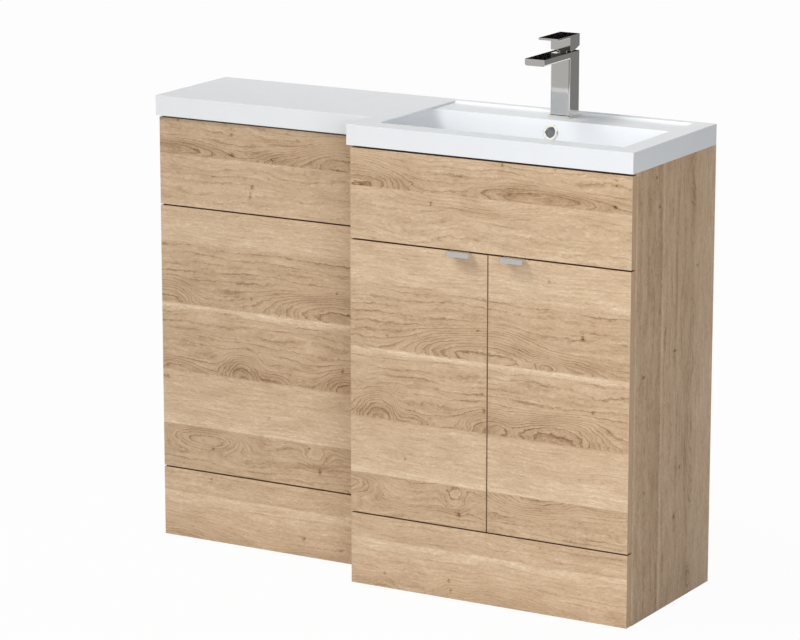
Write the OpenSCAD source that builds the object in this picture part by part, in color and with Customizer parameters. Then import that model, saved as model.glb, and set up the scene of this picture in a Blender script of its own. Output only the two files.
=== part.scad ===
// Toilet and basin combination unit: a basin unit with two doors and a slimmer WC
// unit beside it, under one L-shaped white basin top with a mono basin mixer.
// Millimetres. X runs to the right, Y to the wall, Z up. The origin is on the floor,
// in the middle of the whole object's width and depth.

/* [Cabinets] */
// Width of the basin unit
basin_unit_w = 600; // [500:10:750]
// Width of the WC unit
wc_unit_w = 500; // [420:10:650]
// Depth of the basin unit's carcass, without its fronts
basin_carcass_d = 333.5; // [310:0.5:440]
// Depth of the WC unit's carcass, without its fronts
wc_carcass_d = 234.5; // [200:0.5:290]
// Height of both carcasses
carcass_h = 864; // [700:1:1040]
// Thickness of the carcass boards
board_t = 18; // [15:0.5:22]
// Height of the rails that join the sides
rail_h = 80; // [60:1:100]
// Height of the rail behind the basin unit's fascia
basin_rail_h = 100; // [70:1:110]

/* [Fronts] */
// Thickness of the doors and front panels
front_t = 18; // [17:1:22]
// Height of the plinths
plinth_h = 141.5; // [110:0.5:180]
// Height of the basin unit's fascia and the WC unit's access panel
fascia_h = 175; // [150:1:220]
// Gap between one row of fronts and the next, and between the two doors
row_gap = 3; // [2.5:0.1:5]
// Shadow gap between the top row of fronts and the basin top
shadow_gap = 4; // [2:0.5:8]
// Distance of the fronts' outer edges from the carcass's outer faces
side_reveal = 1.25; // [1:0.05:2]
// Thickness of the buffers that hold the doors off the carcass
buffer_t = 0.8; // [0.7:0.1:1.5]
// Diameter of a door buffer
buffer_d = 7; // [5:0.5:8]

/* [Handles] */
// Width of a finger pull
handle_w = 46; // [30:1:90]
// Distance from a door's meeting edge to its finger pull
handle_inset = 32.5; // [10:0.5:80]
// Distance that a finger pull stands out from the door
handle_reach = 15; // [12:0.5:25]
// Height of the finger pull's lip
handle_lip_h = 9.3; // [6:0.1:16]
// Thickness of the finger pull's plate
handle_t = 1.5; // [1:0.1:1.8]

/* [Hinges] */
// Distance from a door's end to the middle of its hinge
hinge_end = 100; // [60:1:140]
// Diameter of the hinge cup's hole in the door
cup_hole_d = 35; // [34:0.5:36]
// Distance from the door's hinge edge to the middle of the cup
cup_inset = 22; // [21.5:0.1:23]
// Depth of the hinge cup
cup_depth = 11.5; // [11:0.1:12.5]
// Distance from the carcass's front edge to the mounting plate's screws
plate_setback = 37; // [34:1:45]
// Width of a hinge arm, along the door's height
arm_w = 12; // [10:0.5:14]
// Length of a hinge link between its pin and its free end
link_length = 18; // [16:0.5:18]

/* [Basin top] */
// Height of the basin top's edge
top_edge_h = 40; // [30:1:60]
// Thickness of the basin top's skirt
skirt_t = 14; // [10:1:18]
// Thickness of the basin top's flat
top_flat_t = 18; // [12:1:24]
// Overhang of the basin top at the WC unit's outer side
top_over_left = 3.7; // [0:0.1:10]
// Overhang of the basin top past the WC unit's carcass, at the front
wc_top_over = 23.7; // [19:0.1:35]
// Overhang of the basin top past the basin unit's carcass, at the front
basin_top_over = 19.2; // [18:0.1:30]
// Overhang of the basin part past the joint between the units
step_over = 7.1; // [0:0.1:12]

/* [Bowl] */
// Width of the bowl's opening
bowl_w = 518; // [380:1:530]
// Width of the rim in front of the bowl
front_rim = 44; // [36:1:60]
// Width of the rim behind the recessed tap deck
back_rim = 15; // [12:1:25]
// Distance from the wall to the bowl's back edge, over the tap deck
deck_d = 98; // [92:1:120]
// Depth of the tap deck below the rim
deck_drop = 4; // [2:0.5:8]
// Depth of the bowl below the tap deck
bowl_depth = 105; // [80:1:120]
// Slope of the bowl's back wall from upright, in degrees
back_slope = 17; // [8:1:22]
// Slope of the bowl's other walls from upright, in degrees
side_slope = 9; // [4:1:15]
// Radius of the bowl's back corners at the deck
corner_r = 24; // [12:1:35]
// Radius of the bowl's front corners at the rim
front_corner_r = 4; // [2:1:12]
// Radius between the bowl's walls and its floor
floor_r = 26; // [16:1:34]
// Thickness of the bowl's wall
bowl_wall = 9; // [7:0.5:12]

/* [Waste and overflow] */
// Diameter of the waste's thread
waste_thread_d = 41.9; // [38:0.1:43]
// Bore of the waste
waste_bore_d = 32; // [28:1:34]
// Length of the waste below the bowl's floor
waste_l = 72; // [60:1:95]
// Diameter of the waste's flange
waste_flange_d = 63; // [56:1:70]
// Travel of the plug between shut and open
plug_travel = 8; // [5:0.5:10]
// Diameter of the plug's stem
plug_stem_d = 8; // [6:0.5:10]
// Outer diameter of the overflow ring
overflow_d = 31; // [26:1:36]
// Bore of the overflow ring
overflow_bore_d = 20; // [16:1:24]
// Depth of the overflow's middle below the tap deck
overflow_drop = 23; // [20:1:30]
// Width of the overflow's channel
channel_w = 36; // [30:1:44]
// Depth of the overflow's channel
channel_t = 10; // [7:0.5:12]

/* [Tap] */
// Width of the tap's column, spout and lever
tap_w = 42; // [38:1:50]
// Depth of the tap's column
tap_d = 41; // [38:1:50]
// Distance from the wall to the tap's middle
tap_y = 47.5; // [44:0.5:56]
// Height of the tap's body above the base plate
tap_h = 122.5; // [100:0.5:180]
// Distance from the tap's column to the end of the spout
spout_reach = 104; // [80:1:140]
// Thickness of the spout
spout_t = 13; // [12:0.5:18]
// Radius of the tap's upright edges
tap_edge_r = 2.6; // [0.5:0.1:3]
// Width of the base plate
base_w = 47; // [44:0.5:60]
// Depth of the base plate
base_d = 49; // [44:0.5:60]
// Thickness of the base plate
base_t = 4.5; // [3:0.5:8]
// Diameter of the spigot through the tap hole
spigot_d = 32; // [30:0.5:33]
// Diameter of the tap hole
tap_hole_d = 35; // [34:0.5:37]
// Diameter of the cartridge
cartridge_d = 30; // [25:0.5:32]
// Diameter of the ring between the body and the lever
neck_d = 34; // [32.5:0.5:36]
// Height of that ring above the body
neck_h = 2.6; // [2:0.1:4]
// Gap between the ring and the lever
lever_gap = 0.8; // [0.6:0.1:1.5]
// Length of the lever's plate
lever_l = 89; // [70:1:120]
// Thickness of the lever's plate
lever_t = 4.2; // [3:0.1:6]
// Height of the lever's block under the plate
lever_block_h = 25; // [20:0.5:35]
// Depth of the lever's block
lever_block_d = 39; // [36:0.5:44]
// Angle that the lever lifts through, which is also the slope under its back
lever_lift = 18; // [12:1:22]
// Diameter of the thread in each water inlet, at its crests
inlet_d = 9; // [8:0.1:10.5]
// Diameter of the fixing stud
stud_d = 8; // [6:1:8]
// Length of the fixing stud below the tap
stud_l = 48; // [40:1:70]

/* [Fixings] */
// Diameter of the wooden dowels
dowel_d = 8; // [6:1:8]
// Length of the wooden dowels
dowel_l = 30; // [25:1:35]
// Diameter of the screws
screw_d = 4; // [3:0.5:4.5]
// Diameter of the bolts that join the two units
joint_bolt_d = 6; // [5:1:6]
// Diameter of the holes for the wall screws
wall_hole_d = 6; // [5:0.5:8]
// Distance of the wall screws from the carcass's outer faces
wall_hole_inset = 90; // [60:1:130]
// Diameter of the push-in studs of the access panel
panel_stud_d = 8; // [6:1:8]

/* [Hidden] */
$fn = 48;

// Colours
oak = "burlywood";
board = "tan";
chrome = "silver";
nickel = "lightgray";
steel = "darkgray";
white = "white";
rubber = "dimgray";

// Clearances
eps = 0.01;          // overlap that keeps a cut or a join clean
run = 0.05;          // round a pin that turns or slides in its bore
loose = 0.1;         // round a fixed round piece in its hole

// Rows of fronts, from the floor up
middle_z = plinth_h + row_gap;
fascia_z = carcass_h - shadow_gap - fascia_h;
middle_h = fascia_z - row_gap - middle_z;
middle_top = middle_z + middle_h;

// Basin unit, from X = 0 at the joint between the units to the right
basin_inner_w = basin_unit_w - 2 * board_t;
basin_mid_x = basin_unit_w / 2;
basin_front_w = basin_unit_w - 2 * side_reveal;
basin_front_y = -basin_carcass_d;
floor_z = plinth_h + row_gap / 2 - board_t / 2;
basin_rail_z = fascia_z - 12;

// WC unit, from the joint to the left
wc_inner_w = wc_unit_w - 2 * board_t;
wc_front_w = wc_unit_w - 2 * side_reveal;
wc_front_y = -wc_carcass_d;
wc_rail_z = fascia_z - row_gap / 2 - rail_h / 2;
wc_lower_rail_z = plinth_h + row_gap / 2 - rail_h / 2;

// Doors
door_w = (basin_front_w - row_gap) / 2;
door_back_y = basin_front_y - buffer_t;
door_front_y = door_back_y - front_t;
handle_front_y = door_front_y - handle_reach;

// Concealed hinges, seen from above: X from the door's hinge edge, Y from its front
hinge_z = [middle_z + hinge_end, middle_top - hinge_end];
hinge_axis_x = 3;
cup_r = cup_hole_d / 2 - loose;
cup_wall = 1.1;
cup_floor_y = front_t - cup_depth;
cup_flange_t = 1.2;
cup_flange_h = 62;
cup_screw_spread = 45;
plate_t = 3;
plate_h = 48;
plate_l = 30;
plate_screw_spread = 32;
plate_x = board_t - side_reveal;
carcass_edge_y = front_t + buffer_t;
plate_y = carcass_edge_y + plate_setback;
arm_x = plate_x + plate_t;
arm_thick = 8;
link_pin = [cup_inset + 11.6, front_t - 5.6];
link_pin_d = 2.5;
link_t = 3;
link_eye_d = link_t + 2;
link_w = arm_w - 4.6;
link_rest_angle = 176.5;
cheek_t = 2;

// Basin top
top_z = carcass_h + top_edge_h;
top_left = -wc_unit_w - top_over_left;
top_right = basin_unit_w;
wc_top_front = wc_front_y - wc_top_over;
basin_top_front = basin_front_y - basin_top_over;
flat_z = top_z - top_flat_t;
deck_z = top_z - deck_drop;
bowl_left = basin_mid_x - bowl_w / 2;
bowl_right = basin_mid_x + bowl_w / 2;
bowl_front = basin_top_front + front_rim;
bowl_floor_z = deck_z - bowl_depth;
waste_y = (bowl_front - deck_d - bowl_depth * tan(back_slope)) / 2;
waste_seat = 3;
cove_w = 7;

// Overflow channel, behind the bowl's back wall and under its floor
channel_wall = 4;
channel_bottom_z = bowl_floor_z - bowl_wall - channel_t;
under_bowl_z = channel_bottom_z - channel_wall;

// Waste
waste_r = waste_thread_d / 2;
washer_t = 1;
flange_t = waste_seat - washer_t;
lower_washer_t = 3;
nut_t = 10;
guide_t = 3;
guide_hub_r = 9;
plug_t = 5;
plug_seal_t = 1;
plug_r = waste_flange_d / 2 - 3;
plug_edge_r = 2;
stem_below_guide = 14;
nut_r = waste_r + 9;
boss_r = waste_r + 12;
boss_h = 12;
waste_slot_w = 12;
guide_spoke_w = 3;
groove_w = 2;
groove_depth = 1.2;

// Tap
base_z = deck_z;
base_corner_r = 2;
column_z = base_z + base_t;
body_top_z = column_z + tap_h;
spigot_end_z = flat_z - 4;
cartridge_seat = 42;
cartridge_z = body_top_z - cartridge_seat;
spindle_bore_z = cartridge_z + 12;
spindle_z = spindle_bore_z + 0.5;
ring_thread_h = 5;
ring_bore_d = 14;
spindle_d = 12;
lever_z = body_top_z + neck_h + lever_gap;
pivot_z = lever_z + 3;
pivot_pin_d = 3;
stem_size = 8;
stem_top_z = lever_z + 20;
plate_z = lever_z + lever_block_h;
inlet_depth = 12;
inlet_pitch = 15;
stud_offset = 9;
stud_grip = 12;
washer_slot_w = 26;
aerator_d = 18;
aerator_h = 8;
spout_bore_d = 6;
aerator_y = -tap_y - tap_d / 2 - spout_reach + 14;

// Middle of the whole object, seen from above
centre_x = (top_left + top_right) / 2;
centre_y = handle_front_y / 2;

// ---- Small shapes ----------------------------------------------------------------

// Moves what is drawn from the joint between the units to the part's own origin
module in_place() translate([-centre_x, -centre_y, 0]) children();

// A cylinder along X from x0, middle at [y, z]
module rod_x(d, l, x0, y, z) translate([x0, y, z]) rotate([0, 90, 0]) cylinder(d = d, h = l);

// A cylinder along Y towards the wall from y0, middle at [x, z]
module rod_y(d, l, x, y0, z) translate([x, y0, z]) rotate([-90, 0, 0]) cylinder(d = d, h = l);

// A rectangle with rounded corners, around the origin
module rounded_rect(w, d, r) {
  square([w - 2 * r, d], center = true);
  square([w, d - 2 * r], center = true);
  for (sx = [-1, 1], sy = [-1, 1])
    translate([sx * (w / 2 - r), sy * (d / 2 - r)]) circle(r = r);
}

small_head_d = 1.7 * screw_d;
plate_screw_l = plate_t + 11;

// A countersunk screw pointing along +X, its head's face at the origin
module screw(l, head_d = 2 * screw_d) {
  head_h = (head_d - screw_d) / 2;
  rotate([0, 90, 0]) {
    difference() {
      union() {
        cylinder(d1 = head_d, d2 = screw_d, h = head_h);
        cylinder(d = screw_d, h = l);
      }
      cross_recess(screw_d);
    }
  }
}

// The cross-shaped drive in a screw's head, its middle on the head's face
module cross_recess(size) {
  for (turn = [0, 90])
    rotate(turn) translate([0, 0, 0.4]) cube([size, size / 4, 0.8 + eps], center = true);
}

// The hole that such a screw needs
module screw_hole(l, head_d = 2 * screw_d) {
  head_h = (head_d - screw_d) / 2;
  rotate([0, 90, 0]) {
    translate([0, 0, -eps]) cylinder(d1 = head_d + 2 * loose, d2 = screw_d + 2 * loose, h = head_h);
    translate([0, 0, -eps]) cylinder(d = screw_d + 2 * loose, h = l + 0.5);
  }
}

// ---- Carcasses -------------------------------------------------------------------

// Ends of a rail's dowels: [y, z] of each, for a rail that stands upright
function rail_dowels(y, z, h) = [[y, z + h * 0.25], [y, z + h * 0.75]];

// Dowels across the basin unit's sides, as [y, z]
basin_dowels = concat(
  rail_dowels(basin_front_y + board_t / 2, basin_rail_z, basin_rail_h),
  rail_dowels(-board_t / 2, carcass_h - rail_h, rail_h),
  rail_dowels(-board_t / 2, floor_z + board_t, rail_h),
  [for (y = [0.15, 0.5, 0.85]) [basin_front_y * y, floor_z + board_t / 2]]
);

// Dowels across the WC unit's sides, as [y, z]
wc_dowels = concat(
  rail_dowels(wc_front_y + board_t / 2, wc_rail_z, rail_h),
  rail_dowels(wc_front_y + board_t / 2, wc_lower_rail_z, rail_h),
  rail_dowels(-board_t / 2, carcass_h - rail_h, rail_h),
  rail_dowels(-board_t / 2, wc_lower_rail_z, rail_h)
);

// Heights of the dowels between the basin unit's sides and its plinth
plinth_dowel_z = [plinth_h * 0.25, plinth_h * 0.75];
dowel_in_side = board_t - 6;
dowel_in_front = 12;

// Every dowel or, with more than no clearance, the hole for it
module dowels(gap = 0) {
  d = dowel_d + 2 * gap;
  l = dowel_l + 2 * gap;
  for (p = basin_dowels) {
    rod_x(d, l, board_t - dowel_in_side - gap, p[0], p[1]);
    rod_x(d, l, basin_unit_w - board_t + dowel_in_side - dowel_l - gap, p[0], p[1]);
  }
  for (p = wc_dowels) {
    rod_x(d, l, -board_t + dowel_in_side - dowel_l - gap, p[0], p[1]);
    rod_x(d, l, -wc_unit_w + board_t - dowel_in_side - gap, p[0], p[1]);
  }
  for (x = [board_t / 2, basin_unit_w - board_t / 2], z = plinth_dowel_z)
    rod_y(d, l, x, basin_front_y - dowel_in_front - gap, z);
}

// Places of the bolts that join the two units, as [y, z]
joints_yz = [for (y = [0.2, 0.8], z = [0.3, 0.75]) [wc_front_y * y, carcass_h * z]];
sleeve_d = joint_bolt_d + 3;
joint_head_d = 15;
joint_head_t = 1.6;

// Places of the access panel's studs, as [x, z]
panel_stud_l = 12;
panel_studs_xz = [
  for (x = [-board_t / 2, -wc_unit_w + board_t / 2], z = [0.3, 0.85])
    [x, fascia_z + fascia_h * z]
];

// Screws that hold the fronts from behind, as [x, y, z] of each head
front_screw_l = board_t + 12;
basin_front_screws = [
  for (x = [0.15, 0.85])
    [basin_unit_w * x, basin_front_y + board_t, basin_rail_z + basin_rail_h * 0.6]
];
wc_front_screws = [
  for (x = [0.15, 0.85], z = [
    wc_rail_z + rail_h * 0.2, wc_lower_rail_z + rail_h * 0.8, wc_lower_rail_z + rail_h * 0.2
  ])
    [-wc_unit_w * x, wc_front_y + board_t, z]
];

module front_screw_places() {
  for (p = concat(basin_front_screws, wc_front_screws))
    translate(p) rotate([0, 0, -90]) children();
}

// One upright side board, from x to the right, with all its holes
module side_board(x, d) {
  difference() {
    translate([x, -d, 0]) cube([board_t, d, carcass_h]);
    dowels(loose);
    for (p = joints_yz)
      rod_x(sleeve_d + 2 * loose, 2 * board_t + 2, -board_t - 1, p[0], p[1]);
    for (p = panel_studs_xz)
      rod_y(panel_stud_d + 2 * loose, panel_stud_l + 2 + eps, p[0], wc_front_y - eps, p[1]);
    hinge_plate_screw_places() screw_hole(plate_screw_l);
  }
}

module basin_unit_left_side() color(oak) in_place() side_board(0, basin_carcass_d);

module basin_unit_right_side()
  color(oak) in_place() side_board(basin_unit_w - board_t, basin_carcass_d);

module wc_unit_left_side() color(oak) in_place() side_board(-wc_unit_w, wc_carcass_d);

module wc_unit_right_side() color(board) in_place() side_board(-board_t, wc_carcass_d);

// The board that the basin unit's contents stand on
module basin_unit_floor() color(board) in_place() difference() {
  translate([board_t, basin_front_y, floor_z]) cube([basin_inner_w, basin_carcass_d, board_t]);
  dowels(loose);
}

// An upright rail between two sides
module rail(x, y, z, w, h) difference() {
  translate([x, y, z]) cube([w, board_t, h]);
  dowels(loose);
  front_screw_places() screw_hole(front_screw_l);
}

module basin_unit_front_rail()
  color(board) in_place() rail(board_t, basin_front_y, basin_rail_z, basin_inner_w, basin_rail_h);

module basin_unit_lower_back_rail()
  color(board) in_place() rail(board_t, -board_t, floor_z + board_t, basin_inner_w, rail_h);

// A rail along the wall with its two holes for wall screws
module wall_rail(x, w, hole_x) difference() {
  rail(x, -board_t, carcass_h - rail_h, w, rail_h);
  for (hx = hole_x)
    rod_y(wall_hole_d, board_t + 2, hx, -board_t - 1, carcass_h - rail_h / 2);
}

module basin_unit_top_back_rail()
  color(board) in_place()
    wall_rail(board_t, basin_inner_w, [wall_hole_inset, basin_unit_w - wall_hole_inset]);

module wc_unit_top_back_rail()
  color(board) in_place()
    wall_rail(-wc_unit_w + board_t, wc_inner_w, [wall_hole_inset - wc_unit_w, -wall_hole_inset]);

module wc_unit_front_rail()
  color(board) in_place() rail(-wc_unit_w + board_t, wc_front_y, wc_rail_z, wc_inner_w, rail_h);

module wc_unit_lower_front_rail()
  color(board) in_place()
    rail(-wc_unit_w + board_t, wc_front_y, wc_lower_rail_z, wc_inner_w, rail_h);

module wc_unit_lower_back_rail()
  color(board) in_place()
    rail(-wc_unit_w + board_t, -board_t, wc_lower_rail_z, wc_inner_w, rail_h);

module carcass_dowels() color(board) in_place() dowels();

// Bolts and sleeves that hold the units side by side
module joining_sleeves() color(steel) in_place() for (p = joints_yz) difference() {
  union() {
    rod_x(sleeve_d, 2 * board_t - 2, -board_t, p[0], p[1]);
    rod_x(joint_head_d, joint_head_t, -board_t - joint_head_t, p[0], p[1]);
  }
  rod_x(joint_bolt_d + 2 * run, 2 * board_t, -board_t + 2, p[0], p[1]);
}

module joining_bolts() color(steel) in_place() for (p = joints_yz) difference() {
  union() {
    rod_x(joint_bolt_d, 2 * board_t - 6, -board_t + 6, p[0], p[1]);
    rod_x(joint_head_d, joint_head_t, board_t, p[0], p[1]);
  }
  translate([board_t + joint_head_t, p[0], p[1]]) rotate([0, -90, 0]) cross_recess(joint_bolt_d);
}

// ---- Fronts ----------------------------------------------------------------------

// A fixed front panel on a carcass's front edge
module panel(x, y, z, w, h) difference() {
  translate([x, y - front_t, z]) cube([w, front_t, h]);
  dowels(loose);
  front_screw_places() screw_hole(front_screw_l);
}

module basin_unit_fascia()
  color(oak) in_place() panel(side_reveal, basin_front_y, fascia_z, basin_front_w, fascia_h);

module basin_unit_plinth()
  color(oak) in_place() panel(side_reveal, basin_front_y, 0, basin_front_w, plinth_h);

module wc_unit_pan_panel()
  color(oak) in_place()
    panel(side_reveal - wc_unit_w, wc_front_y, middle_z, wc_front_w, middle_h);

module wc_unit_plinth()
  color(oak) in_place() panel(side_reveal - wc_unit_w, wc_front_y, 0, wc_front_w, plinth_h);

// Seat of a push-in stud in the access panel
stud_head_d = 14;
stud_head_t = 3;

module wc_unit_access_panel() color(oak) in_place() difference() {
  translate([side_reveal - wc_unit_w, wc_front_y - front_t, fascia_z])
    cube([wc_front_w, front_t, fascia_h]);
  for (p = panel_studs_xz)
    rod_y(stud_head_d + 2 * loose, stud_head_t + 1, p[0], wc_front_y - stud_head_t, p[1]);
}

module access_panel_studs() color(rubber) in_place() for (p = panel_studs_xz) {
  rod_y(stud_head_d, stud_head_t, p[0], wc_front_y - stud_head_t, p[1]);
  rod_y(panel_stud_d, panel_stud_l + eps, p[0], wc_front_y - eps, p[1]);
}

module front_panel_screws() color(steel) in_place() front_screw_places() screw(front_screw_l);

// Moves a door's or hinge's frame to the left door, or mirrored to the right one
module door_frame(side) {
  if (side < 0) translate([side_reveal, door_front_y, 0]) children();
  else translate([basin_unit_w - side_reveal, door_front_y, 0]) mirror([1, 0, 0]) children();
}

// Screws down through a finger pull, as distances from its hinge-side end
handle_screw_x = [handle_w * 0.25, handle_w * 0.75];
handle_screw_l = 20;
handle_x = door_w - handle_inset - handle_w;
handle_tab_d = front_t - 2;

module handle_screw_places() {
  for (x = handle_screw_x)
    translate([handle_x + x, front_t / 2, middle_top + handle_t]) rotate([0, 90, 0]) children();
}

module door() difference() {
  translate([0, 0, middle_z]) cube([door_w, front_t, middle_h]);
  handle_screw_places() screw_hole(handle_screw_l, small_head_d);
  for (z = hinge_z) {
    translate([0, 0, z]) rod_y(cup_hole_d, cup_depth + 1, cup_inset, cup_floor_y - 0.5, 0);
    cup_screw_places(z) screw_hole(cup_screw_l, small_head_d);
  }
}

module left_door() color(oak) in_place() door_frame(-1) door();
module right_door() color(oak) in_place() door_frame(1) door();

// A finger pull: a plate on the door's top edge, bent down over the door's front
module handle() difference() {
  union() {
    translate([handle_x, -handle_reach, middle_top])
      cube([handle_w, handle_reach + handle_tab_d, handle_t]);
    translate([handle_x, -handle_reach, middle_top + handle_t - handle_lip_h])
      cube([handle_w, handle_t, handle_lip_h]);
    translate([handle_x, 0, 0]) rotate([90, 0, 90]) linear_extrude(handle_w) handle_bend();
  }
  handle_screw_places() screw_hole(handle_screw_l, small_head_d);
}

// The inside of the bend, filled with a small radius, drawn in the YZ plane
bend_r = 2;
module handle_bend() difference() {
  translate([handle_t - handle_reach - eps, middle_top - bend_r]) square(bend_r + eps);
  translate([handle_t - handle_reach + bend_r, middle_top - bend_r]) circle(r = bend_r);
}

module left_handle() color(nickel) in_place() door_frame(-1) handle();
module right_handle() color(nickel) in_place() door_frame(1) handle();

module handle_screws() handle_screw_places() screw(handle_screw_l, small_head_d);
module left_handle_screws() color(steel) in_place() door_frame(-1) handle_screws();
module right_handle_screws() color(steel) in_place() door_frame(1) handle_screws();

// Buffers on the rail and on the floor board, near the doors' meeting edges
buffer_inset = 12;
module door_buffers() color(white) in_place() for (side = [-1, 1])
  door_frame(side) for (z = [middle_z + buffer_d / 2, middle_top - buffer_d / 2])
    rod_y(buffer_d, buffer_t, door_w - buffer_inset, front_t, z);

// ---- Concealed hinges ------------------------------------------------------------

cup_screw_l = 11;
flange_x = plate_x + 0.75;
flange_w = 2 * cup_inset - 4 - flange_x;
cup_screw_x = cup_inset + 8;

module cup_screw_places(z) {
  for (s = [-1, 1])
    translate([cup_screw_x, front_t + cup_flange_t, z + s * cup_screw_spread / 2])
      rotate([0, 0, -90]) children();
}

module hinge_cups() for (z = hinge_z) difference() {
  union() {
    rod_y(2 * cup_r, cup_depth, cup_inset, cup_floor_y, z);
    translate([flange_x, front_t, z - cup_flange_h / 2])
      cube([flange_w, cup_flange_t, cup_flange_h]);
  }
  rod_y(2 * (cup_r - cup_wall), cup_depth + cup_flange_t, cup_inset, cup_floor_y + cup_wall, z);
  cup_screw_places(z) screw_hole(cup_screw_l, small_head_d);
}

module left_hinge_cups() color(steel) in_place() door_frame(-1) hinge_cups();
module right_hinge_cups() color(steel) in_place() door_frame(1) hinge_cups();

module cup_screws() for (z = hinge_z) cup_screw_places(z) screw(cup_screw_l, small_head_d);
module left_cup_screws() color(steel) in_place() door_frame(-1) cup_screws();
module right_cup_screws() color(steel) in_place() door_frame(1) cup_screws();

// Screws of every mounting plate, seen from the joint between the units
module hinge_plate_screw_places() {
  for (side = [-1, 1], z = hinge_z, s = [-1, 1])
    door_frame(side)
      translate([plate_x + plate_t, plate_y, z + s * plate_screw_spread / 2])
        mirror([1, 0, 0]) children();
}

module hinge_plates() color(steel) in_place() difference() {
  for (side = [-1, 1], z = hinge_z) door_frame(side) {
    translate([plate_x, plate_y - plate_l / 2, z - arm_w / 2]) cube([plate_t, plate_l, arm_w]);
    translate([plate_x, plate_y - plate_l / 5, z - plate_h / 2])
      cube([plate_t, plate_l * 0.4, plate_h]);
  }
  hinge_plate_screw_places() screw_hole(plate_screw_l);
}

module hinge_plate_screws()
  color(steel) in_place() hinge_plate_screw_places() screw(plate_screw_l);

// A hinge arm: a bar on the mounting plate, whose forked nose reaches into the cup
arm_back_y = plate_y + plate_l / 2 + 6;
arm_front_y = front_t + cup_flange_t + 3;
nose_r = 2.6;

module arm_outline() {
  translate([arm_x, arm_front_y]) square([arm_thick, arm_back_y - arm_front_y]);
  polygon([
    [arm_x, arm_front_y + 8], [arm_x + 2, arm_front_y],
    [link_pin[0] - nose_r, link_pin[1] - 0.4], [link_pin[0] + nose_r, link_pin[1] + 0.4],
    [link_pin[0] + nose_r, front_t + 1], [arm_x + arm_thick, arm_front_y + 5]
  ]);
  translate(link_pin) circle(r = nose_r);
}

// Room that the link sweeps between the fork's cheeks
module fork_slot() {
  translate([link_pin[0], link_pin[1]]) circle(r = nose_r + 1.2);
  polygon([
    [arm_x - 4, cup_floor_y], [link_pin[0] + nose_r + 2, cup_floor_y],
    [link_pin[0] + nose_r + 2, link_pin[1] + 3.4], [arm_x - 4, link_pin[1] + 3.4]
  ]);
}

module hinge_arms() for (z = hinge_z) {
  translate([0, 0, z - arm_w / 2]) difference() {
    linear_extrude(arm_w) arm_outline();
    translate([0, 0, cheek_t]) linear_extrude(arm_w - 2 * cheek_t) fork_slot();
  }
  translate([link_pin[0], link_pin[1], z - arm_w / 2 + eps])
    cylinder(d = link_pin_d, h = arm_w - 2 * eps);
  rod_x(arm_w * 0.6, 1.5, arm_x + arm_thick - eps, arm_back_y - arm_w / 2, z);
}

module left_hinge_arms() color(steel) in_place() door_frame(-1) hinge_arms();
module right_hinge_arms() color(steel) in_place() door_frame(1) hinge_arms();

// A link on each arm's pin; its other end swings free in the cup
module hinge_links() for (z = hinge_z)
  translate([link_pin[0], link_pin[1], z - link_w / 2]) rotate(link_rest_angle) difference() {
    union() {
      cylinder(d = link_eye_d, h = link_w);
      translate([0, -link_t / 2, 0]) cube([link_length, link_t, link_w]);
      translate([link_length, 0, 0]) cylinder(d = link_t, h = link_w);
    }
    translate([0, 0, -1]) cylinder(d = link_pin_d + 2 * run, h = link_w + 2);
  }

module left_hinge_links() color(steel) in_place() door_frame(-1) hinge_links();
module right_hinge_links() color(steel) in_place() door_frame(1) hinge_links();

// ---- Basin top -------------------------------------------------------------------

// Plan of the whole top, drawn in by a margin on every side
module top_plan(inset = 0) {
  translate([top_left + inset, wc_top_front + inset])
    square([top_right - top_left - 2 * inset, -wc_top_front - 2 * inset]);
  translate([-step_over + inset, basin_top_front + inset])
    square([top_right + step_over - 2 * inset, -basin_top_front - 2 * inset]);
}

// Y of the bowl's back wall at a height
function back_y(z) = -deck_d - (deck_z - z) * tan(back_slope);

// Distance that the bowl's other walls have come in at a height
function lean_in(z) = (deck_z - z) * tan(side_slope);

// The bowl as one solid: its mouth at z = mouth_z, made wider by grow on every side
module bowl_form(mouth_z, grow) {
  round_z = bowl_floor_z + floor_r;
  side_in = lean_in(mouth_z) - grow / cos(side_slope);
  round_in = lean_in(round_z) + floor_r / cos(side_slope);
  back = back_y(mouth_z) + grow / cos(back_slope);
  round_back = back_y(round_z) - floor_r / cos(back_slope);
  r = corner_r + grow;
  front_r = front_corner_r + grow;
  hull() {
    for (x = [bowl_left + side_in + r, bowl_right - side_in - r])
      translate([x, back - r, mouth_z]) cylinder(r = r, h = eps, $fn = 32);
    for (x = [bowl_left + side_in + front_r, bowl_right - side_in - front_r])
      translate([x, bowl_front + side_in + front_r, mouth_z]) cylinder(r = front_r, h = eps, $fn = 32);
    for (x = [bowl_left + round_in, bowl_right - round_in], y = [bowl_front + round_in, round_back])
      translate([x, y, round_z]) sphere(r = floor_r + grow, $fn = 32);
  }
}

// The recess that holds the tap deck and the bowl's mouth, with a cove at its back
module recess() {
  translate([bowl_left, bowl_front, deck_z])
    cube([bowl_w, -bowl_front - back_rim - cove_w, deck_drop + 1]);
  translate([bowl_left, 0, 0]) rotate([90, 0, 90]) linear_extrude(bowl_w) polygon(concat(
    [[-back_rim - cove_w - 1, top_z + 1], [-back_rim - cove_w - 1, deck_z]],
    [for (a = [0:15:90]) [-back_rim - cove_w + cove_w * sin(a), deck_z + deck_drop * (1 - cos(a))]],
    [[-back_rim, top_z + 1]]
  ));
}

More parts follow.
